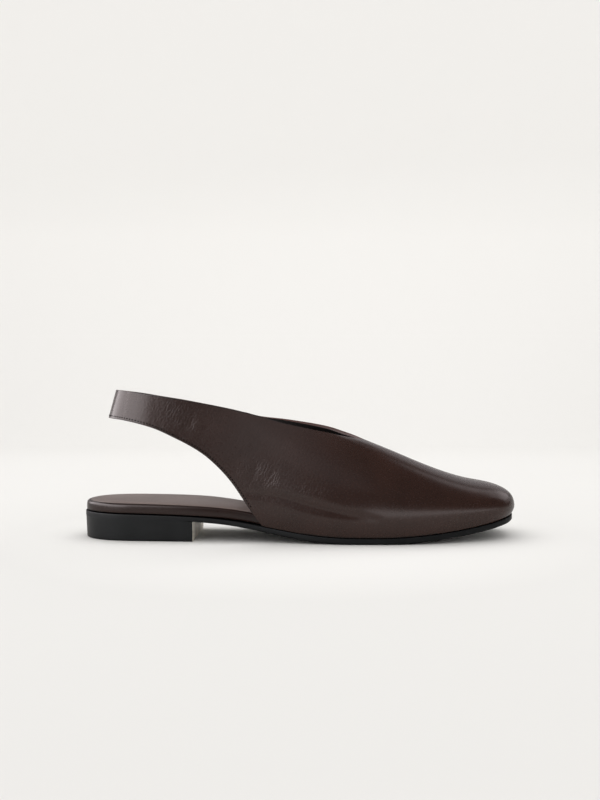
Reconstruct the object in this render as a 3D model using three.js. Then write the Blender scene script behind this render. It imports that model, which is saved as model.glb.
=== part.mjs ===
// A slingback ballet flat for the right foot, with a soft square toe and a low block heel.
// Millimetres, +X towards the toe, +Y towards the inner (medial) side of the foot, +Z up from the floor.
// The origin is on the floor, under the middle of the shoe's box.
import * as THREE from "three";

// Lengths and widths of the sole
const soleLength = 255.2;
const heelSeatWidth = 54;
const waistWidth = 54.2;
const ballWidth = 79;
const toeWidth = 61;
const toeSwing = 8; // how far the tip lies towards the inner side of the heel's centre line

// Heights and thicknesses of what lies under the foot
const heelHeight = 12.8; // underside of the outsole at the back of the heel
const toeSpring = 9.9; // underside of the outsole at the tip of the toe
const outsoleThickness = 3.5; // under the ball
const waistThickness = 2.8; // under the waist and the heel
const outsoleBevel = 0.8; // along its lower edge, in front of the heel
const outsoleBevelAt = 0.3; // share of the length from which the bevel is full
const insoleThickness = 5.8;
const insoleEdgeRound = 1.6;
const insoleFootBevel = 0.4;
const sockThickness = 0.9;
const sockRecess = 0.7; // how deep the sock sits in the top of the insole
const sockMargin = 2.2; // wrapped rim that stays bare around the sock
const sockEdge = 0.5; // height of its upright edge
const sockCrown = 0.6;
const sockCrownReach = 8; // how far in from the edge the crown is full

// The heel block
const heelEnd = 0.262; // share of the length at which its front face stands
const heelInset = 0.1; // behind the edge of the outsole, all round
const heelTaper = 0.6; // how much further in its foot lies
const heelFootBevel = 0.5;

// The upper
const leatherWall = 2; // leather and lining together
const throatRise = 53.4; // lowest point of the throat above the feather line
const strapRise = 71; // top of the strap at the back above the feather line there
const strapWidth = 16.4; // height of the strap at the back
const slingSpan = 54; // across the two sides of the strap
const bellyRise = 13; // widest line of the wall above the feather line, beside the ball
const wallOverhang = 1.5; // how far the widest line stands out past the outsole
const featherInset = 0.6; // how far the foot of the wall stays inside the outsole

const seatGap = 0.3; // between pieces that bear on each other
const insoleBareInset = 0.5; // edge of the insole behind the edge of the outsole, where it shows
const insoleCoveredInset = 3.3; // and where the upper wraps it
const insoleTuckAt = 0.387; // share of the length from which the upper wraps it

// Half widths of the outsole either side of the centre line, each row a share of one width
const outlineRows = [
  { at: 0.0, of: heelSeatWidth, lateral: 0.5, medial: 0.5 },
  { at: 0.13, of: heelSeatWidth, lateral: 0.494, medial: 0.492 },
  { at: 0.19, of: heelSeatWidth, lateral: 0.519, medial: 0.504 },
  { at: 0.267, of: heelSeatWidth, lateral: 0.541, medial: 0.493 },
  { at: 0.345, of: waistWidth, lateral: 0.554, medial: 0.446 },
  { at: 0.423, of: waistWidth, lateral: 0.598, medial: 0.439 },
  { at: 0.5, of: ballWidth, lateral: 0.456, medial: 0.342 },
  { at: 0.578, of: ballWidth, lateral: 0.491, medial: 0.418 },
  { at: 0.656, of: ballWidth, lateral: 0.505, medial: 0.473 },
  { at: 0.727, of: ballWidth, lateral: 0.501, medial: 0.492 },
  { at: 0.797, of: ballWidth, lateral: 0.481, medial: 0.476 },
  { at: 0.859, of: toeWidth, lateral: 0.58, medial: 0.561 },
  { at: 0.91, of: toeWidth, lateral: 0.554, medial: 0.502 },
  { at: 0.953, of: toeWidth, lateral: 0.561, medial: 0.449 },
  { at: 1.0, of: toeWidth, lateral: 0.574, medial: 0.426 },
];

// Where the rounded ends begin, and how square they are: 2 is an ellipse
const heelRound = { at: 0.13, squareness: 2.1 };
const toeRound = { at: 0.859, squareness: 2.6 };

// Centre line of the sole: it swings towards the inner side at the toe.
const swingRows = [
  { at: 0.0, swing: 0 },
  { at: 0.7, swing: 0 },
  { at: 0.8, swing: 0.08 },
  { at: 0.86, swing: 0.25 },
  { at: 0.91, swing: 0.5 },
  { at: 0.953, swing: 0.75 },
  { at: 1.0, swing: 1 },
];

// Underside of the outsole, as shares of the heel's height and of the toe spring. It rests flat under
// the ball. Full is 1 where the sheet has the ball's thickness, and 0 where it has the waist's.
const treadRows = [
  { at: 0.0, heel: 1.0, toe: 0, full: 0 },
  { at: 0.111, heel: 0.969, toe: 0, full: 0 },
  { at: 0.189, heel: 0.938, toe: 0, full: 0 },
  { at: 0.251, heel: 0.894, toe: 0, full: 0 },
  { at: 0.29, heel: 0.85, toe: 0, full: 0 },
  { at: 0.329, heel: 0.773, toe: 0, full: 0.05 },
  { at: 0.368, heel: 0.664, toe: 0, full: 0.15 },
  { at: 0.415, heel: 0.484, toe: 0, full: 0.35 },
  { at: 0.462, heel: 0.305, toe: 0, full: 0.65 },
  { at: 0.5, heel: 0.172, toe: 0, full: 0.85 },
  { at: 0.547, heel: 0.06, toe: 0, full: 1 },
  { at: 0.586, heel: 0.01, toe: 0, full: 1 },
  { at: 0.61, heel: 0, toe: 0, full: 1 },
  { at: 0.695, heel: 0, toe: 0, full: 1 },
  { at: 0.734, heel: 0, toe: 0.05, full: 1 },
  { at: 0.793, heel: 0, toe: 0.18, full: 1 },
  { at: 0.851, heel: 0, toe: 0.354, full: 1 },
  { at: 0.91, heel: 0, toe: 0.586, full: 1 },
  { at: 0.96, heel: 0, toe: 0.828, full: 1 },
  { at: 1.0, heel: 0, toe: 1, full: 1 },
];

// Ridge of the upper in front of the throat, along the middle, as a share of the throat's rise
const throatAt = 0.649;
const ridgeRows = [
  { at: throatAt, rise: 1 },
  { at: 0.67, rise: 0.968 },
  { at: 0.689, rise: 0.93 },
  { at: 0.735, rise: 0.824 },
  { at: 0.782, rise: 0.709 },
  { at: 0.829, rise: 0.598 },
  { at: 0.859, rise: 0.531 },
  { at: 0.898, rise: 0.455 },
  { at: 0.93, rise: 0.418 },
  { at: 0.968, rise: 0.383 },
  { at: 1.0, rise: 0.36 },
];

// Sections of the upper: height of the widest line as a share of the belly's rise, fullness of the curve
// above it, and each side's share of the overhang. The inner wall hangs far out over the waist.
const sectionRows = [
  { at: 0.13, belly: 0.8, fullness: 2.2, lateral: 1, medial: 1 },
  { at: 0.19, belly: 0.8, fullness: 2.2, lateral: 1, medial: 1.5 },
  { at: 0.267, belly: 0.8, fullness: 2.2, lateral: 1, medial: 2.7 },
  { at: 0.35, belly: 0.8, fullness: 2.2, lateral: 1, medial: 4.6 },
  { at: 0.415, belly: 0.85, fullness: 2.2, lateral: 1, medial: 4.6 },
  { at: 0.5, belly: 0.92, fullness: 2.15, lateral: 1, medial: 3.6 },
  { at: 0.58, belly: 0.96, fullness: 2.1, lateral: 1, medial: 2 },
  { at: 0.65, belly: 1, fullness: 2.1, lateral: 1, medial: 1.2 },
  { at: 0.72, belly: 0.97, fullness: 2.1, lateral: 1, medial: 1 },
  { at: 0.78, belly: 0.92, fullness: 2.15, lateral: 1, medial: 1 },
  { at: 0.86, belly: 0.78, fullness: 2.3, lateral: 1, medial: 1 },
  { at: 0.93, belly: 0.58, fullness: 2.45, lateral: 1, medial: 1 },
  { at: 1.0, belly: 0.38, fullness: 2.5, lateral: 1, medial: 1 },
];

// Topline from the throat back to the wing: half is a share of the strap's span, lateral and medial
// are how far each side has climbed from the throat to the top of the strap
const throatRows = [
  { at: throatAt, half: 0, lateral: 0, medial: 0 },
  { at: 0.641, half: 0.08, lateral: 0.007, medial: 0.03 },
  { at: 0.626, half: 0.15, lateral: 0.034, medial: 0.085 },
  { at: 0.602, half: 0.215, lateral: 0.076, medial: 0.155 },
  { at: 0.574, half: 0.27, lateral: 0.131, medial: 0.235 },
  { at: 0.537, half: 0.33, lateral: 0.202, medial: 0.3 },
  { at: 0.5, half: 0.382, lateral: 0.276, medial: 0.35 },
  { at: 0.463, half: 0.428, lateral: 0.348, medial: 0.395 },
];

// The wing and the strap, from the foot of the wing back to the middle of the heel. Low and top are
// the two edges, and lift is how far the low edge has risen from the sole to the strap's own low edge.
const slingRows = [
  { lowAt: 0.417, lift: 0.0, topAt: 0.415, topHalf: 0.472, lateral: 0.475, medial: 0.436 },
  { lowAt: 0.404, lift: 0.085, topAt: 0.395, topHalf: 0.484, lateral: 0.52, medial: 0.463 },
  { lowAt: 0.387, lift: 0.194, topAt: 0.38, topHalf: 0.492, lateral: 0.557, medial: 0.496 },
  { lowAt: 0.37, lift: 0.32, topAt: 0.36, topHalf: 0.5, lateral: 0.591, medial: 0.54 },
  { lowAt: 0.347, lift: 0.475, topAt: 0.337, topHalf: 0.507, lateral: 0.638, medial: 0.59 },
  { lowAt: 0.321, lift: 0.605, topAt: 0.31, topHalf: 0.509, lateral: 0.685, medial: 0.64 },
  { lowAt: 0.29, lift: 0.726, topAt: 0.278, topHalf: 0.507, lateral: 0.735, medial: 0.695 },
  { lowAt: 0.255, lift: 0.813, topAt: 0.245, topHalf: 0.502, lateral: 0.789, medial: 0.75 },
  { lowAt: 0.218, lift: 0.88, topAt: 0.212, topHalf: 0.493, lateral: 0.839, medial: 0.805 },
  { lowAt: 0.181, lift: 0.944, topAt: 0.179, topHalf: 0.478, lateral: 0.879, medial: 0.85 },
  { lowAt: 0.146, lift: 0.976, topAt: 0.148, topHalf: 0.459, lateral: 0.916, medial: 0.895 },
  { lowAt: 0.113, lift: 0.992, topAt: 0.119, topHalf: 0.422, lateral: 0.953, medial: 0.94 },
  { lowAt: 0.083, lift: 1.0, topAt: 0.095, topHalf: 0.337, lateral: 0.977, medial: 0.97 },
  { lowAt: 0.061, lift: 1.0, topAt: 0.078, topHalf: 0.207, lateral: 0.993, medial: 0.99 },
  { lowAt: 0.051, lift: 1.0, topAt: 0.07, topHalf: 0.0, lateral: 1.0, medial: 1.0 },
];

// How finely the curved forms are divided
const heelSteps = 9;
const seatSteps = 8;
const ballSteps = 15;
const toeSteps = 9;
const tuckSteps = 3;
const wallSteps = 11;
const rowsPerSling = 2;
const wingRows = 6; // table rows over which the wing narrows into the strap

const rightAngle = Math.PI / 2;
const halfTurnOut = 1 - Math.SQRT1_2; // how far a round corner has come in halfway round
const mostReach = 0.985; // share of the wall's half width that the topline keeps within
const onSoleWithin = 0.01;

// Numbers from 0 to 1 in equal steps
function shares(count) {
  return Array.from({ length: count + 1 }, (unused, i) => i / count);
}

// A smooth curve through one column of a table
function column(rows, value) {
  const sorted = [...rows].sort((a, b) => a.at - b.at);
  const places = sorted.map((row) => row.at);
  const curve = new THREE.CubicInterpolant(places, sorted.map(value), 1);
  const last = places.length - 1;
  return (at) => curve.evaluate(THREE.MathUtils.clamp(at, places[0], places[last]))[0];
}

const sideOf = { lateral: -1, medial: 1 };
const halfWidth = {
  lateral: column(outlineRows, (row) => row.of * row.lateral),
  medial: column(outlineRows, (row) => row.of * row.medial),
};
const centreY = column(swingRows, (row) => row.swing * toeSwing);
const treadCurve = column(treadRows, (row) => row.heel * heelHeight + row.toe * toeSpring);
const fullCurve = column(treadRows, (row) => row.full);

// Underside and top of the outsole at a distance x from the back of the heel
function tread(x) {
  return Math.max(0, treadCurve(x / soleLength));
}
function outsoleTop(x) {
  const full = THREE.MathUtils.clamp(fullCurve(x / soleLength), 0, 1);
  return tread(x) + THREE.MathUtils.lerp(waistThickness, outsoleThickness, full);
}
function featherLine(x) {
  return outsoleTop(x) + seatGap;
}

// Stations along the sole. Each has a turn: 0 where the side runs along, up to a right angle at an end.
function stationsAlong() {
  const heelTurns = shares(heelSteps).map((s) => ({ end: "heel", turn: (1 - s) * rightAngle }));
  const wingAt = slingRows[0].lowAt;
  const seat = shares(seatSteps).slice(1);
  const ball = shares(ballSteps).slice(1);
  const toeTurns = shares(toeSteps).slice(1);
  return [
    ...heelTurns,
    ...seat.map((s) => ({ at: THREE.MathUtils.lerp(heelRound.at, wingAt, s), turn: 0 })),
    ...ball.map((s) => ({ at: THREE.MathUtils.lerp(wingAt, toeRound.at, s), turn: 0 })),
    ...toeTurns.map((s) => ({ end: "toe", turn: s * rightAngle })),
  ];
}
const stations = stationsAlong();
const wingStation = heelSteps + seatSteps;

// Point of the sole's outline on one side at a station, grown outwards by so much
function outlinePoint(side, station, grow) {
  let x = station.at * soleLength;
  let narrowing = 1;
  if (station.end) {
    const toe = station.end === "toe";
    const round = toe ? toeRound : heelRound;
    const power = 2 / round.squareness;
    const reach = (toe ? 1 - round.at : round.at) * soleLength + grow;
    x = round.at * soleLength + (toe ? 1 : -1) * reach * Math.sin(station.turn) ** power;
    narrowing = station.turn === rightAngle ? 0 : Math.cos(station.turn) ** power;
  }
  const at = x / soleLength;
  return { x, y: centreY(at) + sideOf[side] * narrowing * (halfWidth[side](at) + grow) };
}

// A closed ring round the sole: the outer side from heel to toe, and back along the inner side
function soleRing(inset, height, chosen = stations) {
  const point = (side, station) => {
    const place = outlinePoint(side, station, -inset(station));
    return new THREE.Vector3(place.x, place.y, height(place.x));
  };
  const open = (station) => station.turn < rightAngle;
  return [
    ...chosen.map((station) => point("lateral", station)),
    ...chosen.filter(open).reverse().map((station) => point("medial", station)),
  ];
}

// Indexed mesh of triangles from points and faces
function meshOf(points, faces) {
  const geometry = new THREE.BufferGeometry();
  geometry.setFromPoints(points);
  geometry.setIndex(faces.flat());
  geometry.computeVertexNormals();
  return geometry;
}

// Two triangles for a four-sided face
function quad(a, b, c, d) {
  return [a, b, c, a, c, d];
}

// Closed solid from a stack of like rings, lowest first, with flat strips across both ends.
// The rings start at the heel's middle, or at the outer side where the ring is open at the back.
function ringStack(rings, pairs) {
  const size = rings[0].length;
  const faces = [];
  for (let level = 0; level + 1 < rings.length; level++) {
    for (let i = 0; i < size; i++) {
      const next = (i + 1) % size;
      const low = level * size;
      const high = low + size;
      faces.push(quad(low + i, low + next, high + next, high + i));
    }
  }
  const top = (rings.length - 1) * size;
  for (let i = 0; i + 1 < pairs.length; i++) {
    const [a, b] = pairs[i];
    const [c, d] = pairs[i + 1];
    const corners = [...new Set([a, b, d, c])];
    for (let k = 1; k + 1 < corners.length; k++) {
      faces.push([corners[0], corners[k], corners[k + 1]]);
      faces.push([top + corners[0], top + corners[k + 1], top + corners[k]]);
    }
  }
  return meshOf(rings.flat(), faces);
}

// Point numbers that face each other across a ring that closes at heel and toe
function pairsAcross(size, count) {
  return Array.from({ length: count }, (unused, i) => [i, (size - i) % size]);
}

function soleSolid(rings) {
  return ringStack(rings, pairsAcross(rings[0].length, stations.length));
}

// Share of the length at which a station lies, where all of an end counts as its tip
function shareAlong(station) {
  if (!station.end) return station.at;
  return station.end === "toe" ? 1 : 0;
}

// Outsole: one thin sheet from heel to toe. Its edge is upright over the heel and bevelled in front of it.
function makeOutsole() {
  const bevel = (station) =>
    outsoleBevel * THREE.MathUtils.smoothstep(shareAlong(station), heelEnd, outsoleBevelAt);
  const rings = [
    soleRing(bevel, tread),
    soleRing(() => 0, (x) => tread(x) + outsoleBevel),
    soleRing(() => 0, outsoleTop),
  ];
  return soleSolid(rings);
}

// Heel: a low block with a flat foot and a flat front face
function makeHeel() {
  const front = { at: heelEnd, turn: 0 };
  const behind = stations.filter((s) => s.end === "heel" || s.at < heelEnd);
  const chosen = [...behind, front];
  const footInset = heelInset + heelTaper;
  const rings = [
    soleRing(() => footInset + heelFootBevel, () => 0, chosen),
    soleRing(() => footInset, () => heelFootBevel, chosen),
    soleRing(() => heelInset, (x) => tread(x) - seatGap, chosen),
  ];
  return ringStack(rings, pairsAcross(rings[0].length, chosen.length));
}

// Edge of the insole: nearly flush where it shows, further in under the upper
function insoleInset(station) {
  const covered = THREE.MathUtils.smoothstep(shareAlong(station), heelEnd, insoleTuckAt);
  return THREE.MathUtils.lerp(insoleBareInset, insoleCoveredInset, covered);
}

// Insole: a board and its filling wrapped in leather, with a rounded rim and a shallow seat for the sock
function makeInsole() {
  const edge = (inset, rise) =>
    soleRing((s) => insoleInset(s) + inset, (x) => featherLine(x) + rise);
  const rings = [
    edge(insoleFootBevel, 0),
    edge(0, insoleFootBevel),
    edge(0, insoleThickness - insoleEdgeRound),
    edge(insoleEdgeRound * halfTurnOut, insoleThickness - insoleEdgeRound * halfTurnOut),
    edge(insoleEdgeRound, insoleThickness),
    edge(sockMargin - seatGap, insoleThickness),
    edge(sockMargin - seatGap, insoleThickness - sockRecess),
  ];
  return soleSolid(rings);
}

// Sock: the thin padded sheet under the foot, crowned a little
function makeSock() {
  const floor = insoleThickness - sockRecess + seatGap;
  const sheet = (inset, rise) =>
    soleRing((s) => insoleInset(s) + sockMargin + inset, (x) => featherLine(x) + floor + rise);
  const rings = [
    sheet(0, 0),
    sheet(0, sockEdge),
    sheet(sockThickness, sockThickness),
    sheet(sockCrownReach, sockThickness + sockCrown),
  ];
  return soleSolid(rings);
}

// Heights of the throat and of the strap's top above the floor
const throatX = throatAt * soleLength;
const backX = slingRows[slingRows.length - 1].topAt * soleLength;
const throatHeight = featherLine(throatX) + throatRise;
const strapHeight = featherLine(backX) + strapRise;

function climb(share) {
  return THREE.MathUtils.lerp(throatHeight, strapHeight, share);
}

// The topline of one side from the throat to the middle of the back, as table rows
function toplineRows() {
  const wing = slingRows.map((row) => ({ ...row, at: row.topAt, half: row.topHalf }));
  return [...throatRows, ...wing];
}

// Section of the upper: height of its widest line, and its fullness
const bellyCurve = column(sectionRows, (row) => row.belly * bellyRise);
const fullnessCurve = column(sectionRows, (row) => row.fullness);
const overhang = {
  lateral: column(sectionRows, (row) => row.lateral * wallOverhang),
  medial: column(sectionRows, (row) => row.medial * wallOverhang),
};
function widestHeight(x) {
  return featherLine(x) + bellyCurve(x / soleLength);
}

// Height that each section's arch would reach on the centre line, if nothing were cut away.
// In front of the throat this is the ridge. Behind it the arch is the one that runs through the topline.
function archCurve(side) {
  const ridge = ridgeRows.map((row) => ({
    at: row.at,
    height: featherLine(row.at * soleLength) + row.rise * throatRise,
  }));
  const open = toplineRows().filter((row) => row.half > 0 && row.at > heelRound.at);
  const virtual = open.map((row) => {
    const x = row.at * soleLength;
    const power = fullnessCurve(row.at);
    const wall = halfWidth[side](row.at) + overhang[side](row.at);
    const reach = Math.min(mostReach, (row.half * slingSpan) / wall);
    const share = (1 - reach ** power) ** (1 / power);
    const low = widestHeight(x);
    return { at: row.at, height: low + (climb(row[side]) - low) / share };
  });
  return column([...virtual, ...ridge], (row) => row.height);
}
const arch = { lateral: archCurve("lateral"), medial: archCurve("medial") };

// Height of the upper's outer face over a point of the plan
function faceHeight(side, x, y) {
  const at = x / soleLength;
  const across = Math.abs(y - centreY(at)) / (halfWidth[side](at) + overhang[side](at));
  const reach = (1 - toeRound.at) * soleLength + wallOverhang;
  const along = Math.max(0, x - toeRound.at * soleLength) / reach;
  const round = toeRound.squareness;
  const out = Math.min(1, (across ** round + along ** round) ** (1 / round));
  const power = fullnessCurve(at);
  const low = widestHeight(x);
  return low + (arch[side](at) - low) * (1 - out ** power) ** (1 / power);
}

// Smooth line of the topline on one side, from throat to back, one unit per table row
function toplineCurve(side) {
  const points = toplineRows().map((row) => {
    const x = row.at * soleLength;
    const y = centreY(row.at) + sideOf[side] * row.half * slingSpan;
    return new THREE.Vector3(x, y, climb(row[side]));
  });
  return smoothLine(points);
}

// Line through points whose two ends cross the centre line squarely
function smoothLine(points) {
  const mirror = (end, beside) => new THREE.Vector3(beside.x, 2 * end.y - beside.y, beside.z);
  const first = mirror(points[0], points[1]);
  const last = mirror(points[points.length - 1], points[points.length - 2]);
  const curve = new THREE.CatmullRomCurve3([first, ...points, last], false, "centripetal");
  const spans = points.length + 1;
  return (unit) => curve.getPoint((unit + 1) / spans);
}

// Half width of the upper's outer face at a distance from the heel and a height
function faceHalf(side, x, z) {
  const at = x / soleLength;
  const widest = halfWidth[side](at) + overhang[side](at);
  const low = widestHeight(x);
  if (z < low) {
    const below = (low - z) / (low - featherLine(x));
    return widest - (overhang[side](at) + featherInset) * below ** 2;
  }
  const power = fullnessCurve(at);
  const share = Math.min(1, (z - low) / (arch[side](at) - low));
  return widest * (1 - share ** power) ** (1 / power);
}

// Low edge of the wing and the strap on one side, in the plane of the shoe's side,
// one unit per table row
function slingEdge(side) {
  const points = slingRows.map((row) => {
    const x = row.lowAt * soleLength;
    const top = climb(row[side]) - strapWidth;
    return new THREE.Vector3(x, 0, THREE.MathUtils.lerp(featherLine(x), top, row.lift));
  });
  const curve = new THREE.CatmullRomCurve3(points, false, "centripetal");
  return (unit) => curve.getPoint(unit / (points.length - 1));
}

// One rib of the wing or the strap, between its low edge and the topline, over the same sections
// as the vamp. Round the back of the heel it is drawn in towards the centre line.
function slingRib(side, from, to, heights) {
  const drawn = Math.abs(to.y - centreY(to.x / soleLength)) / faceHalf(side, to.x, to.z);
  return heights.map((share) => {
    const x = THREE.MathUtils.lerp(from.x, to.x, share);
    const z = THREE.MathUtils.lerp(from.z, to.z, share);
    const y = centreY(x / soleLength) + sideOf[side] * drawn * faceHalf(side, x, z);
    return new THREE.Vector3(x, y, z);
  });
}

// One rib of the vamp: up the wall from the feather line, over the widest line, and on to the topline
function vampRib(side, station, top) {
  const rib = shares(tuckSteps).map((s) => {
    const most = overhang[side](station.end ? 1 : station.at);
    const grow = THREE.MathUtils.lerp(most, -featherInset, (1 - s) ** 2);
    const place = outlinePoint(side, station, grow);
    const z = THREE.MathUtils.lerp(featherLine(place.x), widestHeight(place.x), s);
    return new THREE.Vector3(place.x, place.y, z);
  });
  const start = rib[tuckSteps];
  const topAt = top.x / soleLength;
  const power = fullnessCurve((start.x / soleLength + topAt) / 2);
  const wall = halfWidth[side](topAt) + overhang[side](topAt);
  const reach = Math.min(mostReach, Math.abs(top.y - centreY(topAt)) / wall);
  const lastTurn = Math.acos(reach ** (power / 2));
  const miss = top.z - faceHeight(side, top.x, top.y);
  for (const s of shares(wallSteps).slice(1)) {
    const out = Math.cos(s * lastTurn) ** (2 / power);
    const along = (1 - out) / (1 - Math.cos(lastTurn) ** (2 / power));
    const x = THREE.MathUtils.lerp(start.x, top.x, along);
    const y = THREE.MathUtils.lerp(start.y, top.y, along);
    rib.push(new THREE.Vector3(x, y, faceHeight(side, x, y) + miss * along));
  }
  return rib;
}

// The ribs of one side, from the tip of the toe round to the middle of the back
function ribsOf(side) {
  const topline = toplineCurve(side);
  const feather = stations.slice(wingStation).reverse();
  const ribs = feather.map((station, i) => {
    const unit = (i / (feather.length - 1)) * throatRows.length;
    return vampRib(side, station, topline(unit));
  });
  const low = slingEdge(side);
  const wing = ribs[ribs.length - 1];
  const height = wing[wing.length - 1].z - wing[0].z;
  const wingShares = wing.map((point) => (point.z - wing[0].z) / height);
  const rows = (slingRows.length - 1) * rowsPerSling;
  for (let i = 1; i <= rows; i++) {
    const unit = i / rowsPerSling;
    const even = THREE.MathUtils.smoothstep(unit, 0, wingRows);
    const heights = wingShares.map((share, j) =>
      THREE.MathUtils.lerp(share, j / (wing.length - 1), even),
    );
    ribs.push(slingRib(side, low(unit), topline(throatRows.length + unit), heights));
  }
  return ribs;
}

// Upper: vamp, wings and strap in one hollow wall, open at the throat, behind the wings and underneath
function makeUpper() {
  const lateral = ribsOf("lateral");
  const medial = ribsOf("medial");
  const outer = [...lateral, ...medial.slice(1, -1).reverse()];
  const rows = outer.length;
  const columns = outer[0].length;
  const inner = outer.map((rib, i) =>
    rib.map((point, j) => {
      const before = outer[(i + rows - 1) % rows][j];
      const after = outer[(i + 1) % rows][j];
      const below = rib[Math.max(0, j - 1)];
      const above = rib[Math.min(columns - 1, j + 1)];
      const outwards = after.clone().sub(before).cross(above.clone().sub(below)).normalize();
      return point.clone().addScaledVector(outwards, leatherWall);
    }),
  );
  for (let i = 0; i < rows; i++) {
    const onSole = Math.abs(outer[i][0].z - featherLine(outer[i][0].x)) < onSoleWithin;
    if (onSole) inner[i][0].z = Math.max(featherLine(inner[i][0].x), outer[i][0].z);
  }
  const loop = outer.map((rib, i) => [...rib, ...[...inner[i]].reverse()]);
  const around = loop[0].length;
  const faces = [];
  for (let i = 0; i < rows; i++) {
    const next = (i + 1) % rows;
    for (let j = 0; j < around; j++) {
      const up = (j + 1) % around;
      faces.push(quad(i * around + j, i * around + up, next * around + up, next * around + j));
    }
  }
  return meshOf(loop.flat(), faces);
}

// The parts, each with its own finish
const finishes = {
  brownLeather: { color: 0x3f2f2b, roughness: 0.42, metalness: 0 },
  sockLeather: { color: 0x4a3a36, roughness: 0.5, metalness: 0 },
  blackSole: { color: 0x1e1d1e, roughness: 0.55, metalness: 0 },
  blackHeel: { color: 0x232325, roughness: 0.4, metalness: 0 },
};

function part(name, geometry, finish) {
  const mesh = new THREE.Mesh(geometry, new THREE.MeshStandardMaterial(finishes[finish]));
  mesh.name = name;
  return mesh;
}

const shoe = new THREE.Group();
shoe.add(part("outsole", makeOutsole(), "blackSole"));
shoe.add(part("heel", makeHeel(), "blackHeel"));
shoe.add(part("insole", makeInsole(), "brownLeather"));
shoe.add(part("sock", makeSock(), "sockLeather"));
shoe.add(part("upper", makeUpper(), "brownLeather"));

// Stand the middle of the shoe's box over the origin
const middle = new THREE.Box3().setFromObject(shoe).getCenter(new THREE.Vector3());
shoe.position.set(-middle.x, -middle.y, 0);

export default shoe;
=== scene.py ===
import math
import bpy
import bmesh
from mathutils import Matrix, Vector
from mathutils.bvhtree import BVHTree
from mathutils.kdtree import KDTree


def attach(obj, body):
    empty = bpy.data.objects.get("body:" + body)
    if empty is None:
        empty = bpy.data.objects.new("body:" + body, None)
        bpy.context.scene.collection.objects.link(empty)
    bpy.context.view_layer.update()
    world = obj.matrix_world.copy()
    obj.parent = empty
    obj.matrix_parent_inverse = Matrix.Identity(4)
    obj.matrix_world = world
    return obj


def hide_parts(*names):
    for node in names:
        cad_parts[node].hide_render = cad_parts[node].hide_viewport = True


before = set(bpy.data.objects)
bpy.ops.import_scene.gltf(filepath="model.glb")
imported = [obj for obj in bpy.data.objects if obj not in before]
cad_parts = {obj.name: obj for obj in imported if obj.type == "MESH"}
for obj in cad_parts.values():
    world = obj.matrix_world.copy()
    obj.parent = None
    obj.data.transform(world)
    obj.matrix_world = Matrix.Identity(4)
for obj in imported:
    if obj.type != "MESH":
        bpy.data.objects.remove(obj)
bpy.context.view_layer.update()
mm = 0.001

# Outsole: one thin sheet of black rubber under the whole shoe, from the heel to the toe. It is cut to
# the outline, its edge is ground and inked, and it is cemented under the insole and the upper.
outsole_edge_round = 0.3 * mm
edge_turn = 35  # degrees: an edge that turns more is rounded
sharp_turn = 60  # degrees: an edge that turns more stays sharp
fully_sharp = 1.0
flush_turn = math.radians(40)  # faces that turn less share one smooth surface
smoothing_levels = 2
heel_front = -58 * mm
heel_top = 13.5 * mm
outsole_black = (0.0034, 0.0036, 0.0040, 1)
cool_gloss = (0.90, 0.97, 1.0, 1)
grit_gloss = 0.14  # how far the grit takes the gloss away
black_shine = 0.4
coat_roughness = 0.25


def merged_copy(node, name):
    """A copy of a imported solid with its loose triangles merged."""
    bpy.ops.object.select_all(action="DESELECT")
    piece = bpy.data.objects.new(name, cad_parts[node].data.copy())
    bpy.context.collection.objects.link(piece)
    piece.data.materials.clear()
    bpy.context.view_layer.objects.active = piece
    piece.select_set(True)
    bpy.ops.mesh.customdata_custom_splitnormals_clear()
    bpy.ops.object.mode_set(mode="EDIT")
    bpy.ops.mesh.select_all(action="SELECT")
    bpy.ops.mesh.remove_doubles(threshold=0.01 * mm)
    bpy.ops.object.mode_set(mode="OBJECT")
    return piece


def squared_copy(node, name):
    """A merged copy in four-sided faces, none of them folded over a sharp edge."""
    piece = merged_copy(node, name)
    bpy.ops.object.mode_set(mode="EDIT")
    bpy.ops.mesh.tris_convert_to_quads(face_threshold=flush_turn, shape_threshold=math.pi)
    bpy.ops.object.mode_set(mode="OBJECT")
    return piece


def select_sharp(piece, angle):
    """Opens a piece for editing with the edges selected that turn by more than an angle."""
    bpy.ops.object.select_all(action="DESELECT")
    bpy.context.view_layer.objects.active = piece
    piece.select_set(True)
    bpy.ops.object.mode_set(mode="EDIT")
    bpy.ops.mesh.select_mode(type="EDGE")
    bpy.ops.mesh.select_all(action="DESELECT")
    bpy.ops.mesh.edges_select_sharp(sharpness=math.radians(angle))


def close_edit():
    """Ends the editing of a piece."""
    bpy.ops.mesh.select_mode(type="VERT")
    bpy.ops.object.mode_set(mode="OBJECT")


def round_edges(piece, width, keep_sharp):
    """Rounds the edges of a piece by a narrow bevel, but for the ones to be kept sharp."""
    select_sharp(piece, edge_turn)
    mesh = bmesh.from_edit_mesh(piece.data)
    for edge in mesh.edges:
        if edge.select and keep_sharp((edge.verts[0].co + edge.verts[1].co) / 2):
            edge.select_set(False)
    mesh.select_flush_mode()
    bmesh.update_edit_mesh(piece.data)
    bpy.ops.mesh.bevel(offset=width, segments=2, affect="EDGES", clamp_overlap=True)
    close_edit()


def hold_edges(piece, angle, sharpness):
    """Holds the edges that turn by more than an angle, so that smoothing leaves them crisp."""
    select_sharp(piece, angle)
    bpy.ops.transform.edge_crease(value=sharpness)
    close_edit()


def round_off(piece):
    """Smooths a piece by subdivision and applies it."""
    bpy.context.view_layer.objects.active = piece
    smooth = piece.modifiers.new("smooth", "SUBSURF")
    smooth.levels = smoothing_levels
    smooth.render_levels = smoothing_levels
    bpy.ops.object.modifier_apply(modifier="smooth")
    bpy.ops.object.shade_smooth_by_angle(angle=flush_turn)


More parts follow.
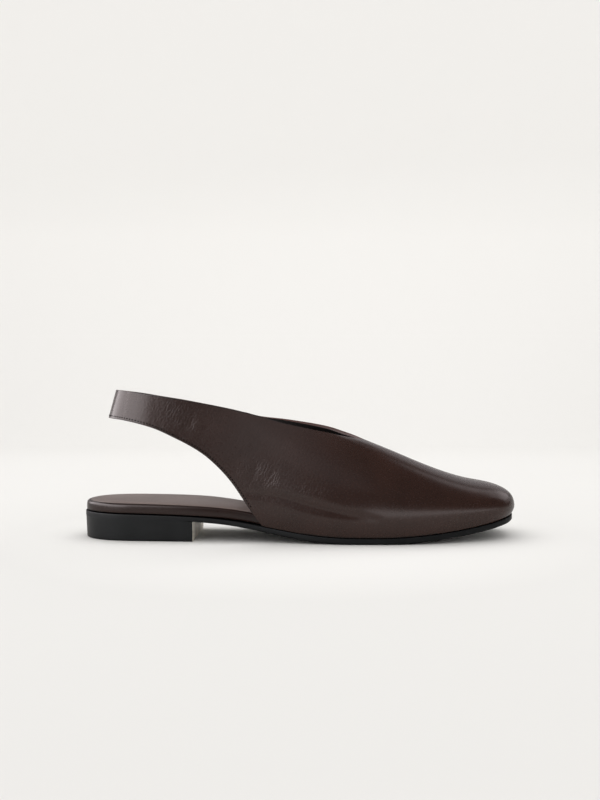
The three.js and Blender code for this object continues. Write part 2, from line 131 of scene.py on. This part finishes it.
def add(tree, kind, values=(), **settings):
    """One node of a material, with its settings, and its sockets set or linked."""
    made = tree.nodes.new(kind)
    for key, value in settings.items():
        setattr(made, key, value)
    for socket, value in dict(values).items():
        if isinstance(value, bpy.types.NodeSocket):
            tree.links.new(value, made.inputs[socket])
        else:
            made.inputs[socket].default_value = value
    return made


def ramp(tree, value, reach, tones, kind="LINEAR"):
    """A value that runs between two tones over a reach of another value, and stays level outside it."""
    return add(tree, "ShaderNodeMapRange", {"Value": value, "From Min": reach[0], "From Max": reach[1],
                                            "To Min": tones[0], "To Max": tones[1]},
               interpolation_type=kind).outputs[0]


def plus_share(tree, value, share, base):
    """A share of one value on top of another."""
    return add(tree, "ShaderNodeMath", {0: value, 1: share, 2: base},
               operation="MULTIPLY_ADD").outputs[0]


def scaled(tree, colour, factor):
    """A colour made lighter or darker by a factor."""
    return add(tree, "ShaderNodeVectorMath", {0: colour, "Scale": factor},
               operation="SCALE").outputs[0]


def new_group(name, inputs, outputs):
    """An empty group of nodes with named sockets."""
    group = bpy.data.node_groups.new(name, "ShaderNodeTree")
    for socket, kind, value in inputs:
        made = group.interface.new_socket(name=socket, in_out="INPUT", socket_type=kind)
        made.default_value = value
    for socket, kind in outputs:
        group.interface.new_socket(name=socket, in_out="OUTPUT", socket_type=kind)
    return group


def new_material(name):
    """A material with its main shader, and the tree that it is built in."""
    material = bpy.data.materials.new(name)
    material.use_nodes = True
    return material, material.node_tree, material.node_tree.nodes["Principled BSDF"]


def make_speckle():
    """Uneven surface of moulded or ground rubber: a little mottle in tone, gloss and height."""
    group = new_group(
        "rubber_speckle",
        [("Colour", "NodeSocketColor", (0.01, 0.01, 0.01, 1)), ("Roughness", "NodeSocketFloat", 0.5),
         ("Size mm", "NodeSocketFloat", 1.0)],
        [("Colour", "NodeSocketColor"), ("Roughness", "NodeSocketFloat"), ("Height", "NodeSocketFloat")],
    )
    given = add(group, "NodeGroupInput")
    place = add(group, "ShaderNodeTexCoord")
    scale = add(group, "ShaderNodeMath", {0: 1 / mm, 1: given.outputs["Size mm"]}, operation="DIVIDE")
    fine = add(group, "ShaderNodeTexNoise", {"Vector": place.outputs["Object"], "Scale": scale.outputs[0],
                                             "Detail": 4.0, "Roughness": 0.6})
    broad = add(group, "ShaderNodeTexNoise", {"Vector": place.outputs["Object"], "Scale": 90.0,
                                              "Detail": 3.0})
    tone = ramp(group, broad.outputs["Fac"], (0.3, 0.7), (0.8, 1.3))
    add(group, "NodeGroupOutput",
        {"Colour": scaled(group, given.outputs["Colour"], tone),
         "Roughness": plus_share(group, fine.outputs["Fac"], grit_gloss, given.outputs["Roughness"]),
         "Height": fine.outputs["Fac"]})
    return group


speckle = make_speckle()


def make_black(name, colour, roughness, size, depth, coat):
    """Black rubber, or the lacquer of the heel. The grit has a size in mm, and a depth."""
    material, tree, shader = new_material(name)
    surface = add(tree, "ShaderNodeGroup", node_tree=speckle)
    surface.inputs["Colour"].default_value = colour
    surface.inputs["Roughness"].default_value = roughness
    surface.inputs["Size mm"].default_value = size
    bump = add(tree, "ShaderNodeBump", {"Height": surface.outputs["Height"], "Distance": depth,
                                        "Strength": 0.5})
    tree.links.new(surface.outputs["Colour"], shader.inputs["Base Color"])
    tree.links.new(surface.outputs["Roughness"], shader.inputs["Roughness"])
    tree.links.new(bump.outputs["Normal"], shader.inputs["Normal"])
    shader.inputs["Specular IOR Level"].default_value = black_shine
    shader.inputs["Specular Tint"].default_value = cool_gloss
    shader.inputs["Coat Weight"].default_value = coat
    shader.inputs["Coat Roughness"].default_value = coat_roughness
    return material


def over_heel(point):
    """True for the underside's edge where it sits on the heel."""
    return point.x < heel_front and point.z < heel_top


outsole = squared_copy("outsole", "outsole_rubber")
round_edges(outsole, outsole_edge_round, keep_sharp=over_heel)
hold_edges(outsole, sharp_turn, fully_sharp)
round_off(outsole)
outsole.data.materials.append(make_black("black_rubber", outsole_black, roughness=0.42, size=0.7,
                                         depth=0.1 * mm, coat=0.0))
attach(outsole, "root")
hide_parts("outsole")

# Heel: a low block, lacquered black all over. Its front face is drawn pale beige in vertical bands, which is
# painted reflection of the white floor in the lacquer. Its sides lean in a little towards the floor, and it
# is nailed and cemented up into the back of the outsole.
heel_edge_round = 0.2 * mm
heel_seat_from = 5 * mm  # above this height lies the heel's seat, which is glued on
heel_glue_gap = 0.29 * mm
bevel_line_turn = 15  # degrees: holds the bevel's own lines too, which keeps the corners full
heel_black = (0.0060, 0.0062, 0.0068, 1)
# Painted reflection: this pale tone stands for the white floor mirrored in the black front face
breast_painted_reflection = (0.95, 0.88, 0.77)
breast_roughness = 0.4
breast_facing = 0.9

heel = squared_copy("heel", "heel_block")
for vert in heel.data.vertices:
    if vert.co.z > heel_seat_from:
        vert.co.z += heel_glue_gap
round_edges(heel, heel_edge_round, keep_sharp=lambda point: point.z > heel_seat_from)
hold_edges(heel, bevel_line_turn, fully_sharp)
round_off(heel)
heel.data.materials.append(make_black("black_lacquer", heel_black, roughness=0.3, size=1.4,
                                      depth=0.06 * mm, coat=0.1))
# The front face's pale colour and its bands are painted reflection of the floor, not the heel's own colour
breast, breast_tree, breast_shader = new_material("heel_breast_painted_reflection")
stretched = add(breast_tree, "ShaderNodeMapping",
                {"Vector": add(breast_tree, "ShaderNodeTexCoord").outputs["Object"], "Scale": (0, 1, 0)})
reflection_bands = add(breast_tree, "ShaderNodeTexNoise", {"Vector": stretched.outputs[0], "Scale": 90.0})
reflection_band_tone = ramp(breast_tree, reflection_bands.outputs["Fac"], (0.35, 0.65), (0.6, 1.15))
painted_reflection_colour = scaled(breast_tree, breast_painted_reflection, reflection_band_tone)
breast_tree.links.new(painted_reflection_colour, breast_shader.inputs["Base Color"])
breast_shader.inputs["Roughness"].default_value = breast_roughness
heel.data.materials.append(breast)
for face in heel.data.polygons:
    face.material_index = int(face.normal.x > breast_facing)
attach(heel, "root")
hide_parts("heel")

# Insole: board and soft filling, wrapped in the brown leather, which shows as a plain band all round
# the open back of the shoe. The upper is lasted over its edge in front of the wings.
insole_edge_sharpness = 0.25
rim_turn = 50  # degrees: an edge that turns more keeps part of its sharpness
wrinkle_lean = math.radians(-28)
grain_depth = 0.7  # shares of the finish's depth, here and in the next two lines
pore_depth = 0.04
wrinkle_depth = 0.62
grain_gloss = 0.12  # how far the grain takes the gloss away, and the painted sheen's mask in the next line
sheen_dulling = 0.05
leather_shine = 0.5
finish_roughness = 0.16
no_edge_near = 10.0  # mm, the furthest that the distance to a folded edge is told
brown = (0.0290, 0.0125, 0.0090, 1)
wrap_brown = (0.0225, 0.0092, 0.0068, 1)
# Grey of the painted sheen: light drawn into the wings' colour
painted_sheen_grey = (0.0165, 0.0165, 0.0175)


def times(tree, one, other):
    """One value times another."""
    return add(tree, "ShaderNodeMath", {0: one, 1: other}, operation="MULTIPLY").outputs[0]


def make_leather_surface():
    """Smooth calf: fine pores, soft mottle in the dye, wrinkles, and a painted grey sheen with duller gloss,
    where masks ask for them.
    """
    group = new_group(
        "smooth_leather",
        [("Colour", "NodeSocketColor", brown), ("Roughness", "NodeSocketFloat", 0.4),
         ("Creases", "NodeSocketFloat", 0.0), ("Grain", "NodeSocketFloat", 1.0),
         ("Painted sheen", "NodeSocketFloat", 0.0), ("Edge mm", "NodeSocketFloat", no_edge_near)],
        [("Colour", "NodeSocketColor"), ("Roughness", "NodeSocketFloat"), ("Height", "NodeSocketFloat")],
    )
    given = add(group, "NodeGroupInput")
    place = add(group, "ShaderNodeTexCoord").outputs["Object"]
    pores = add(group, "ShaderNodeTexVoronoi", {"Vector": place, "Scale": 1500.0}, feature="SMOOTH_F1")
    grain = add(group, "ShaderNodeTexNoise", {"Vector": place, "Scale": 750.0, "Detail": 2.0,
                                              "Roughness": 0.5})
    dye = add(group, "ShaderNodeTexNoise", {"Vector": place, "Scale": 38.0, "Detail": 5.0,
                                            "Roughness": 0.55})
    # Fine wrinkles run up and forward over the side, in patches
    lean = add(group, "ShaderNodeMapping", {"Vector": place, "Rotation": (0, wrinkle_lean, 0)})
    folds = add(group, "ShaderNodeTexWave", {"Vector": lean.outputs[0], "Scale": 170.0, "Distortion": 9.0,
                                             "Detail": 3.0, "Detail Scale": 1.6, "Detail Roughness": 0.6})
    patches = add(group, "ShaderNodeTexNoise", {"Vector": place, "Scale": 170.0, "Detail": 2.0})
    patch = ramp(group, patches.outputs["Fac"], (0.3, 0.6), (0.15, 1.0), "SMOOTHSTEP")
    creased = times(group, patch, given.outputs["Creases"])
    folded = times(group, folds.outputs["Fac"], creased)
    fine = times(group, grain.outputs["Fac"], grain_depth)
    pitted = plus_share(group, pores.outputs["Distance"], pore_depth, fine)
    grained = times(group, pitted, given.outputs["Grain"])
    # The dye sits darker along cut and folded edges
    edge = ramp(group, given.outputs["Edge mm"], (0.1, 1.0), (0.45, 1.0), "SMOOTHSTEP")
    mottle = ramp(group, dye.outputs["Fac"], (0.3, 0.7), (0.86, 1.16))
    dyed = scaled(group, given.outputs["Colour"], times(group, mottle, edge))
    # A painted grey sheen, light standing in the colour, on the wings where the leather bends most; the
    # gloss is dulled there too
    painted_sheen_colour = scaled(group, painted_sheen_grey, given.outputs["Painted sheen"])
    colour = add(group, "ShaderNodeVectorMath", {0: dyed, 1: painted_sheen_colour}, operation="ADD").outputs[0]
    rough = plus_share(group, grain.outputs["Fac"], grain_gloss, given.outputs["Roughness"])
    add(group, "NodeGroupOutput",
        {"Colour": colour,
         "Roughness": plus_share(group, given.outputs["Painted sheen"], sheen_dulling, rough),
         "Height": plus_share(group, folded, wrinkle_depth, grained)})
    return group


leather_surface = make_leather_surface()


def make_leather(name, colour, roughness, coat, depth, masks=False):
    """A leather finish. On the upper it follows masks painted on the mesh."""
    material, tree, shader = new_material(name)
    surface = add(tree, "ShaderNodeGroup", node_tree=leather_surface)
    surface.inputs["Colour"].default_value = colour
    surface.inputs["Roughness"].default_value = roughness
    if masks:
        for mask, socket in (("creases", "Creases"), ("grain", "Grain"), ("painted_sheen", "Painted sheen"),
                             ("edge_mm", "Edge mm")):
            painted = add(tree, "ShaderNodeAttribute", attribute_name=mask)
            tree.links.new(painted.outputs["Fac"], surface.inputs[socket])
    bump = add(tree, "ShaderNodeBump", {"Height": surface.outputs["Height"], "Distance": depth,
                                        "Strength": 1.0})
    tree.links.new(surface.outputs["Colour"], shader.inputs["Base Color"])
    tree.links.new(surface.outputs["Roughness"], shader.inputs["Roughness"])
    tree.links.new(bump.outputs["Normal"], shader.inputs["Normal"])
    shader.inputs["Specular IOR Level"].default_value = leather_shine
    shader.inputs["Coat Weight"].default_value = coat
    shader.inputs["Coat Roughness"].default_value = finish_roughness
    return material


insole = squared_copy("insole", "insole_wrap")
hold_edges(insole, rim_turn, insole_edge_sharpness)
round_off(insole)
insole.data.materials.append(make_leather("wrapped_leather", wrap_brown, roughness=0.24, coat=0.1,
                                          depth=0.04 * mm))
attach(insole, "root")
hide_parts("insole")

# Sock: a thin padded sheet of soft leather, cemented on top of the insole inside its rim, and left
# bare. The foot lies on it.
sock_edge_sharpness = 0.4
# The sock's pale grey-brown is its own lighter brown plus painted reflection of the bright backdrop at a
# grazing angle
sock_brown_painted_reflection = (0.19, 0.143, 0.13, 1)

sock = squared_copy("sock", "sock_pad")
hold_edges(sock, rim_turn, sock_edge_sharpness)
round_off(sock)
sock.data.materials.append(make_leather("soft_sock_leather_painted_reflection", sock_brown_painted_reflection, roughness=0.4, coat=0.1,
                                        depth=0.1 * mm))
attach(sock, "root")
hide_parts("sock")

# Upper: one wall of brown calf with a thin leather lining, cut as vamp, wings and strap in one, folded
# over at the topline and at the strap's edges, lasted over the insole and closed behind the heel.
fold_turn = 40  # degrees: an edge that turns more is a fold
fold_sharpness = 0.55
side_facing = 0.35  # a face that looks in or out less than this belongs to a folded edge
inside_line = {"back": -90 * mm, "front": 100 * mm, "drop": 12 * mm}
edge_step = 0.4 * mm
taut_from_x = 5 * mm
taut_to_x = 55 * mm
taut_loss = 0.85  # share of the grain that is gone where the leather is stretched over the toe
finish_depth = 0.1 * mm
# Painted shade: the lining is drawn near black, far darker than its own leather, for the shade inside the
# shoe
lining_painted_shade = (0.0060, 0.0028, 0.0023, 1)
# The folded edge is its own reddish leather, drawn lighter with painted light falling on it from above
fold_brown_painted_lit = (0.085, 0.036, 0.028, 1)

# Creases of wear: each runs through points in the plane of the shoe's side, and is pressed in or raised
# by a depth that fades out over its reach. The sides differ a little, as they do on a worn shoe.
creases = [
    {"side": -1, "depth": 0.95, "reach": 2.1,
     "points": [(-29, 28), (-17, 27), (-8, 25), (5, 21.2), (16, 18.8), (25, 17), (42, 14.5)]},
    {"side": -1, "depth": -0.35, "reach": 3.2,
     "points": [(-12, 33), (0, 29.5), (12, 26), (24, 23)]},
    {"side": -1, "depth": 0.14, "reach": 2.0, "points": [(-68, 60), (-63, 66), (-60, 73)]},
    {"side": -1, "depth": 0.12, "reach": 1.8, "points": [(-60, 56), (-54, 63), (-51, 70)]},
    {"side": -1, "depth": 0.12, "reach": 1.8, "points": [(-30, 33), (-26, 39), (-23, 47)]},
    {"side": -1, "depth": 0.12, "reach": 1.8, "points": [(-22, 31), (-17, 38), (-14, 46)]},
    {"side": 1, "depth": 0.5, "reach": 2.8,
     "points": [(-24, 30), (-12, 28), (0, 24), (12, 20), (24, 17)]},
    {"side": 1, "depth": -0.3, "reach": 3.0, "points": [(-8, 34), (4, 30), (16, 25)]},
    {"side": 1, "depth": 0.3, "reach": 2.2, "points": [(-66, 58), (-61, 64), (-58, 71)]},
    {"side": 1, "depth": 0.25, "reach": 2.0, "points": [(-27, 35), (-22, 42), (-18, 50)]},
]
# Fields of fine creases: middle and half size in the same plane, and strength
crease_fields = [
    {"middle": (-22, 37), "half": (17, 12), "strength": 1.0},
    {"middle": (7, 29), "half": (14, 9), "strength": 0.8},
    {"middle": (-66, 69), "half": (20, 11), "strength": 0.8},
    {"middle": (-8, 52), "half": (30, 16), "strength": 0.5},
    {"middle": (62, 42), "half": (24, 9), "strength": 0.25},
]
# Field of the painted grey sheen on the wings, which also dulls the gloss there
painted_sheen_field = {"middle": (-21, 66), "half": (34, 31), "strength": 1.0}
crease_ends = (0.06, 0.94)  # share of a crease's length where its fading out stops
end_softness = 0.7
pressed_reaches = 3  # times its reach, how far to each side a crease is pressed
field_falloff = 0.9


def lift_diagonals(piece):
    """Turns the wall's triangles back into the four-sided faces between its ribs. The wall's edges run in
    three families, along, across and slantwise, and two triangles that meet have them the same way round."""
    mesh = bmesh.new()
    mesh.from_mesh(piece.data)
    mesh.faces.ensure_lookup_table()
    family = dict(zip(mesh.faces[0].edges, range(3)))
    waiting, reached = [mesh.faces[0]], {mesh.faces[0]}
    while waiting:
        face = waiting.pop()
        for edge in face.edges:
            for other in set(edge.link_faces) - reached:
                for corner in edge.verts:
                    old = next(e for e in face.edges if e != edge and corner in e.verts)
                    new = next(e for e in other.edges if e != edge and corner in e.verts)
                    family[new] = 3 - family[edge] - family[old]
                reached.add(other)
                waiting.append(other)
    lengths = [sum(e.calc_length() for e, kind in family.items() if kind == k) for k in range(3)]
    slant = lengths.index(max(lengths))
    bmesh.ops.dissolve_edges(mesh, edges=[e for e, kind in family.items() if kind == slant])
    mesh.to_mesh(piece.data)
    mesh.free()


def face_kind(face):
    """0 for the leather's outer side, 1 for the lining, 2 for a folded or lasted edge."""
    middle = face.center
    deep = Vector((min(max(middle.x, inside_line["back"]), inside_line["front"]), 0,
                   middle.z - inside_line["drop"]))
    inwards = face.normal.dot((deep - middle).normalized())
    if inwards > side_facing:
        return 1
    return 0 if inwards < -side_facing else 2


def reach_of(point, line):
    """Distance from a point to a run of points, and the share of the way along it."""
    best = (1e9, 0.0)
    for i in range(len(line) - 1):
        start, end = Vector(line[i]), Vector(line[i + 1])
        along = end - start
        share = min(1.0, max(0.0, (point - start).dot(along) / along.length_squared))
        off = (start + along * share - point).length
        best = min(best, (off, (i + share) / (len(line) - 1)))
    return best


def press_creases(piece):
    """Presses the creases into the outer side of the leather."""
    outside = {v for face in piece.data.polygons if face.material_index == 0 for v in face.vertices}
    normals = {i: piece.data.vertices[i].normal.copy() for i in outside}
    for i in outside:
        vert = piece.data.vertices[i]
        here = Vector((vert.co.x / mm, vert.co.z / mm))
        for crease in creases:
            if vert.co.y * crease["side"] < 0:
                continue
            off, share = reach_of(here, crease["points"])
            if off < pressed_reaches * crease["reach"]:
                share = min(crease_ends[1], max(crease_ends[0], share))
                fade = math.sin(math.pi * share) ** end_softness
                depth = crease["depth"] * fade * math.exp(-((off / crease["reach"]) ** 2))
                vert.co -= normals[i] * depth * mm


def along_edges(piece, kinds):
    """Points in small steps along the edges between two kinds of face."""
    kinds_of = {}
    for face in piece.data.polygons:
        for key in face.edge_keys:
            kinds_of.setdefault(key, set()).add(face.material_index)
    points = []
    for (a, b), found in kinds_of.items():
        if found == kinds:
            start, end = piece.data.vertices[a].co, piece.data.vertices[b].co
            steps = max(1, round((end - start).length / edge_step))
            points += [start.lerp(end, i / steps) for i in range(steps)]
    return points


def tree_of(points):
    """A search tree that finds the nearest of some points."""
    tree = KDTree(len(points))
    for i, point in enumerate(points):
        tree.insert(point, i)
    tree.balance()
    return tree


def share_in(patch, place):
    """Strength of a field at a place, fading out from its middle."""
    across = (place.x / mm - patch["middle"][0]) / patch["half"][0]
    up = (place.z / mm - patch["middle"][1]) / patch["half"][1]
    return patch["strength"] * math.exp(-(across**2 + up**2) * field_falloff)


def paint_masks(piece):
    """Masks for the leather: distance to the folded edge, how creased and grained it is, and the field of
    painted sheen.
    """
    names = ("edge_mm", "creases", "grain", "painted_sheen")
    for name in names:
        piece.data.attributes.new(name, "FLOAT", "POINT")
    edge, field, grain, painted_sheen = (piece.data.attributes[name].data for name in names)
    rim = tree_of(along_edges(piece, {0, 2}))
    for vert in piece.data.vertices:
        edge[vert.index].value = min(no_edge_near, rim.find(vert.co)[2] / mm)
        stretched = (vert.co.x - taut_from_x) / (taut_to_x - taut_from_x)
        grain[vert.index].value = 1 - taut_loss * min(1, max(0, stretched))
        painted_sheen[vert.index].value = share_in(painted_sheen_field, vert.co)
        field[vert.index].value = max(share_in(patch, vert.co) for patch in crease_fields)


upper = merged_copy("upper", "upper_leather")
lift_diagonals(upper)
for face in upper.data.polygons:
    face.material_index = face_kind(face)
hold_edges(upper, fold_turn, fold_sharpness)
round_off(upper)
press_creases(upper)
paint_masks(upper)
upper.data.materials.append(make_leather("brown_calf", brown, roughness=0.20, coat=0.2,
                                         depth=finish_depth, masks=True))
# The lining's near black colour is painted shade of the inside of the shoe
upper.data.materials.append(make_leather("lining_leather_painted_shade", lining_painted_shade, roughness=0.6, coat=0.0,
                                         depth=finish_depth))
# Folded edges: own reddish tone plus painted light from above
upper.data.materials.append(make_leather("folded_edge_painted_lit", fold_brown_painted_lit, roughness=0.42, coat=0.1,
                                         depth=finish_depth))
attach(upper, "root")
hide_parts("upper")

# Stitches: one row in brown thread just inside the free edge of the strap and of both wings, from the
# sole on the outer side, round the heel, to the sole on the inner side. They sit sunk in the leather, and
# the thread is drawn near black, which is partly painted shade of the needle holes.
stitch_pitch = 1.8 * mm
stitch_length = 1.25 * mm
stitch_radius = 0.36 * mm
stitch_flattened = 0.7
stitch_sunk = 0.06 * mm
seam_inset = 1.4 * mm
seam_reach = 2  # corners of the edge to each side that give the seam its direction
seam_from_x = -22 * mm
heel_middle_x = -60 * mm
# Darker than the real brown thread: near black as painted shade of the needle holes
thread_dark_and_painted_shade = (0.0020, 0.0010, 0.0008)
thread_roughness = 0.8
thread_shine = 0.1


def free_edge(piece):
    """The outer corner of the free edge, in order from the outer side round the heel to the inner."""
    low_faces = {}
    for face in piece.data.polygons:
        if face.material_index == 2 and face.normal.z < 0 and face.center.x < seam_from_x:
            for key in face.edge_keys:
                low_faces[key] = face.normal.copy()
    found = {}
    for face in piece.data.polygons:
        if face.material_index == 0:
            for key in face.edge_keys:
                if key in low_faces:
                    for i in key:
                        found[i] = (piece.data.vertices[i].co.copy(), low_faces[key])

    def turn(corner):
        """How far round the heel a corner lies, seen from above."""
        return -(math.atan2(corner[0].y, corner[0].x - heel_middle_x) % (2 * math.pi))

    return sorted(found.values(), key=turn)


def seam_places(piece):
    """Evenly spaced places on the seam: position, direction along it and direction out of the leather."""
    surface = BVHTree.FromPolygons([v.co for v in piece.data.vertices],
                                   [face.vertices for face in piece.data.polygons])
    edge = free_edge(piece)
    line = []
    for i in range(seam_reach, len(edge) - seam_reach):
        along = (edge[i + seam_reach][0] - edge[i - seam_reach][0]).normalized()
        spot, outwards = surface.find_nearest(edge[i][0] - edge[i][1] * seam_inset)[:2]
        inwards = along.cross(outwards).normalized()
        if inwards.dot(edge[i][1]) > 0:
            inwards.negate()
        spot, outwards = surface.find_nearest(edge[i][0] + inwards * seam_inset)[:2]
        line.append((spot, outwards))
    places, walked, due = [], 0.0, stitch_pitch
    for (a, na), (b, nb) in zip(line, line[1:]):
        span = (b - a).length
        while due <= walked + span:
            share = (due - walked) / span
            places.append((a.lerp(b, share), (b - a).normalized(), na.lerp(nb, share).normalized()))
            due += stitch_pitch
        walked += span
    return places


bpy.ops.object.select_all(action="DESELECT")
bpy.ops.mesh.primitive_uv_sphere_add(segments=8, ring_count=6, radius=1, location=(0, 0, 0))
stitch = bpy.context.object
bpy.ops.object.mode_set(mode="EDIT")
bpy.ops.transform.resize(value=(stitch_length / 2, stitch_radius, stitch_radius * stitch_flattened))
bpy.ops.object.mode_set(mode="OBJECT")
bpy.ops.object.shade_smooth()
row = []
for spot, along, outwards in seam_places(upper):
    one = bpy.data.objects.new("stitch", stitch.data.copy())
    across = outwards.cross(along).normalized()
    turned = Matrix((along, across, outwards)).transposed().to_4x4()
    one.data.transform(Matrix.Translation(spot - outwards * stitch_sunk) @ turned)
    bpy.context.collection.objects.link(one)
    row.append(one)
bpy.data.objects.remove(stitch)
bpy.ops.object.select_all(action="DESELECT")
for one in row:
    one.select_set(True)
bpy.context.view_layer.objects.active = row[0]
bpy.ops.object.join()
seam = row[0]
seam.name = "edge_stitches"
thread, thread_tree, thread_shader = new_material("dark_thread_painted_shade")
twist = add(thread_tree, "ShaderNodeTexNoise",
            {"Vector": add(thread_tree, "ShaderNodeTexCoord").outputs["Object"], "Scale": 2600.0})
thread_tone = ramp(thread_tree, twist.outputs["Fac"], (0, 1), (0.6, 1.5))
thread_tree.links.new(scaled(thread_tree, thread_dark_and_painted_shade, thread_tone), thread_shader.inputs["Base Color"])
thread_shader.inputs["Roughness"].default_value = thread_roughness
thread_shader.inputs["Specular IOR Level"].default_value = thread_shine
seam.data.materials.clear()
seam.data.materials.append(thread)
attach(seam, "root")

# Floor, light and camera: a white floor that curves up behind the shoe, one soft light overhead for the
# floor and the shadows, soft panels around the shoe that only shine in its gloss, and the viewpoint of
# the photograph, level with the strap's low edge.
floor_white = (0.885, 0.88, 0.865)
floor_painted_shade_in_gloss = (0.38, 0.37, 0.36, 1)
# Painted shade: the paper's darker colour where it is seen in reflections, for the shaded floor near the
# shoe
floor_roughness = 0.8
room_light = (1.0, 0.985, 0.97, 1)
room_mirrored = (0.02, 0.0195, 0.019, 1)
room_seen = (0.95, 0.925, 0.905, 1)
plain_light = (1.0, 1.0, 1.0)
warm_light = (1.0, 0.925, 0.935)
sweep = {"front": -1.6, "start": 0.9, "radius": 0.5, "top": 1.8, "half": 2.2}
bend_steps = 64
mirrored_steps = 40
eye = Vector((-0.5 * mm, -505 * mm, 80.5 * mm))
lens_px = 841
frame_px = 800
sensor_width = 36  # mm

paper, paper_tree, paper_shader = new_material("white_paper")
paper_rays = add(paper_tree, "ShaderNodeLightPath")
# In reflections the paper switches to its darker colour, which is painted shade of the floor round the shoe
paper_tone = add(paper_tree, "ShaderNodeMix", {"Factor": paper_rays.outputs["Is Glossy Ray"]},
                 data_type="RGBA")
# Painted light: the paper is drawn palest in a pool round the shoe, and paler again further back and where
# it curves up
paper_place = add(paper_tree, "ShaderNodeTexCoord").outputs["Object"]
paper_far = add(paper_tree, "ShaderNodeVectorMath", {0: paper_place}, operation="LENGTH")
paper_apart = add(paper_tree, "ShaderNodeSeparateXYZ", {0: paper_place})
painted_light_pool = ramp(paper_tree, paper_far.outputs["Value"], (0.06, 0.17), (0.975, 0.84))
painted_light_back = ramp(paper_tree, paper_apart.outputs["Y"], (0.4, 1.0), (1.0, 1.07))
painted_light_up = ramp(paper_tree, paper_apart.outputs["Z"], (0.0, 0.45), (1.0, 1.17))
painted_light_fall = times(paper_tree, painted_light_pool, times(paper_tree, painted_light_back, painted_light_up))
paper_tree.links.new(scaled(paper_tree, floor_white, painted_light_fall), paper_tone.inputs["A"])
paper_tone.inputs["B"].default_value = floor_painted_shade_in_gloss
paper_tree.links.new(paper_tone.outputs["Result"], paper_shader.inputs["Base Color"])
paper_shader.inputs["Roughness"].default_value = floor_roughness
paper_shader.inputs["Specular IOR Level"].default_value = 0.0


def paper_sheet(name, profile):
    """A wide strip of white paper along a profile of (y, z) points."""
    bpy.ops.object.select_all(action="DESELECT")
    bpy.ops.mesh.primitive_plane_add(size=1, location=(0, 0, 0))
    strip = bpy.context.object
    strip.name = name
    sheet = bmesh.new()
    left = [sheet.verts.new((-sweep["half"], y, z)) for y, z in profile]
    right = [sheet.verts.new((sweep["half"], y, z)) for y, z in profile]
    for i in range(len(profile) - 1):
        sheet.faces.new((left[i], right[i], right[i + 1], left[i + 1]))
    sheet.to_mesh(strip.data)
    sheet.free()
    bpy.ops.object.shade_smooth()
    strip.data.materials.append(paper)
    return strip


bend = [(sweep["start"] + sweep["radius"] * math.sin(turn), sweep["radius"] * (1 - math.cos(turn)))
        for turn in (math.radians(90 * step / bend_steps) for step in range(bend_steps + 1))]
paper_sheet("studio_floor", [(sweep["front"], 0.0)] + bend[:mirrored_steps + 1])
backdrop = paper_sheet("studio_backdrop", bend[mirrored_steps:] + [(bend[-1][0], sweep["top"])])
backdrop.visible_glossy = False

world = bpy.data.worlds.new("room")
world.use_nodes = True
room = world.node_tree.nodes["Background"]
rays = add(world.node_tree, "ShaderNodeLightPath")
lit = add(world.node_tree, "ShaderNodeMix", {"Factor": rays.outputs["Is Glossy Ray"]}, data_type="RGBA")
lit.inputs["A"].default_value = room_light
lit.inputs["B"].default_value = room_mirrored
room_tone = add(world.node_tree, "ShaderNodeMix", {"Factor": rays.outputs["Is Camera Ray"],
                                                   "A": lit.outputs["Result"]}, data_type="RGBA")
room_tone.inputs["B"].default_value = room_seen
world.node_tree.links.new(room_tone.outputs["Result"], room.inputs["Color"])
bpy.context.scene.world = world


def soft_light(name, place, aim, size, glow, on_floor=False):
    """A rectangular soft light pointed at a place, as bright as so many times the white floor. It either
    lights the floor and casts the shadows, or only shines in the leather's gloss."""
    bpy.ops.object.light_add(type="AREA", location=place)
    light = bpy.context.object
    light.name = name
    light.data.shape = "RECTANGLE"
    light.data.size, light.data.size_y = size
    light.data.energy = glow * math.pi * size[0] * size[1]
    light.data.color = plain_light if on_floor else warm_light
    light.visible_diffuse = on_floor
    light.visible_glossy = not on_floor
    light.rotation_euler = (Vector(aim) - Vector(place)).to_track_quat("-Z", "Y").to_euler()


soft_light("overhead", (-0.05, 0.4, 1.0), aim=(0, 0, 0), size=(1.4, 0.9), glow=1.1, on_floor=True)
soft_light("left", (-1.075, 0.13, 0.52), aim=(-0.09, 0, 0.05), size=(1.2, 0.9), glow=3.4)
soft_light("left_front", (-0.82, -0.68, 0.52), aim=(-0.09, 0, 0.05), size=(0.92, 0.9), glow=3.6)
soft_light("front", (-0.12, -0.86, 0.86), aim=(0, 0, 0.03), size=(0.7, 0.7), glow=0.18)
soft_light("above_left", (-0.3, -0.25, 1.1), aim=(0, 0, 0.03), size=(0.9, 0.7), glow=0.6)
soft_light("low_front", (0.375, -0.4, 0.018), aim=(0.375, -0.36, 1.018), size=(0.66, 0.6), glow=1.25)
soft_light("back_right", (1.0, 0.55, 0.45), aim=(0, 0, 0.03), size=(0.8, 0.6), glow=0.4)
soft_light("over_toe", (0.475, 0.235, 0.335), aim=(0.1, -0.02, 0.03), size=(0.38, 0.34), glow=0.62)
soft_light("low_back", (-0.15, 0.85, 0.39), aim=(0, 0, 0.03), size=(1.8, 0.56), glow=0.36)

bpy.ops.object.camera_add(location=eye, rotation=(math.radians(90), 0, 0))
camera = bpy.context.object
camera.data.sensor_width = sensor_width
camera.data.lens = sensor_width * lens_px / frame_px
camera.data.clip_start = 0.01
camera.data.clip_end = 50
bpy.context.scene.camera = camera
bpy.context.scene.view_settings.view_transform = "Standard"
